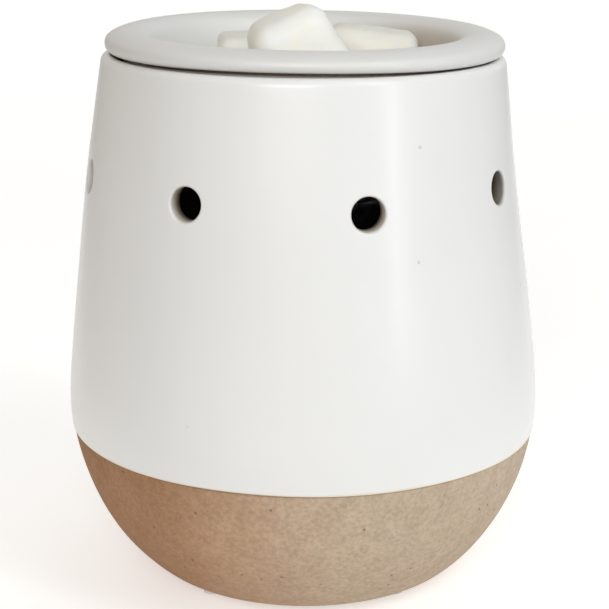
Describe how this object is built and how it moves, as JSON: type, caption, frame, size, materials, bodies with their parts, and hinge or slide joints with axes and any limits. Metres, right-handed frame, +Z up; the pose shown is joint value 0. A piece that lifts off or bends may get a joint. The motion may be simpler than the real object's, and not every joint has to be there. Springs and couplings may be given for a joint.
{
  "type": "wax warmer pot",
  "caption": "Ceramic fragrance wax warmer: rounded pot with a ring of vents, lift-off dish of wax melts and a twist-lock reflector lamp inside",
  "frame": {"origin": "on the table, on the pot's turning axis, under the foot pads", "axes": "+Z up along the pot's turning axis, -Y towards the viewer's side, +Y towards the cord notch at the back"},
  "size_m": [0.12, 0.12, 0.1471],
  "materials": {
    "white_glaze": "satin white glaze over sandy stoneware, bare below the belly",
    "cream_wax": "waxy, slightly translucent",
    "painted_steel": "black powder coat",
    "zinc_plate": "zinc plated",
    "brass": "plain",
    "clear_silicone": "milky silicone",
    "black_rubber": "matt",
    "steatite": "unglazed electrical ceramic",
    "terminal_nylon": "natural nylon",
    "lead_sleeve": "woven heat-proof sleeve over copper",
    "lamp_glass": "clear",
    "lamp_mirror": "aluminised glass reflector",
    "nickel": "nickel plated"
  },
  "bodies": {
    "base": {"ceramic_body": "white_glaze", "foot_pad_front_left": "clear_silicone", "foot_pad_front_right": "clear_silicone", "foot_pad_back_left": "clear_silicone", "foot_pad_back_right": "clear_silicone", "base_plate": "painted_steel", "cord_grommet": "black_rubber", "base_screw_left": "zinc_plate", "base_screw_right": "zinc_plate", "base_nut_left": "zinc_plate", "base_nut_right": "zinc_plate", "lamp_bracket": "painted_steel", "lamp_holder": "steatite", "holder_screw_left": "zinc_plate", "holder_screw_right": "zinc_plate", "contact_left": "brass", "contact_right": "brass", "lead_left": "lead_sleeve", "lead_right": "lead_sleeve", "terminal_block": "terminal_nylon", "terminal_barrel_left": "brass", "terminal_barrel_right": "brass", "terminal_screw_left": "zinc_plate", "terminal_screw_right": "zinc_plate"},
    "bulb": {"bulb_base": "steatite", "bulb_pin_left": "nickel", "bulb_pin_right": "nickel", "bulb_reflector": "lamp_mirror", "bulb_lens": "lamp_glass", "bulb_capsule": "lamp_glass", "bulb_filament": "nickel"},
    "dish": {"wax_dish": "white_glaze"},
    "melt_centre": {"wax_melt_centre": "cream_wax"},
    "melt_right": {"wax_melt_right": "cream_wax"},
    "melt_left": {"wax_melt_left": "cream_wax"}
  },
  "joints": [
    {"name": "dish_lift", "type": "slide", "parent": "base", "child": "dish", "axis": [0, 0, 1], "range_m": [0, 0.06]},
    {"name": "melt_centre_lift", "type": "slide", "parent": "dish", "child": "melt_centre", "axis": [0, 0, 1], "range_m": [0, 0.045]},
    {"name": "melt_right_lift", "type": "slide", "parent": "dish", "child": "melt_right", "axis": [0, 0, 1], "range_m": [0, 0.045]},
    {"name": "melt_left_lift", "type": "slide", "parent": "dish", "child": "melt_left", "axis": [0, 0, 1], "range_m": [0, 0.045]},
    {"name": "bulb_twist", "type": "hinge", "parent": "base", "child": "bulb", "pos_m": [0, 0, 0.0541], "axis": [0, 0, 1], "range_deg": [0, 20]}
  ]
}
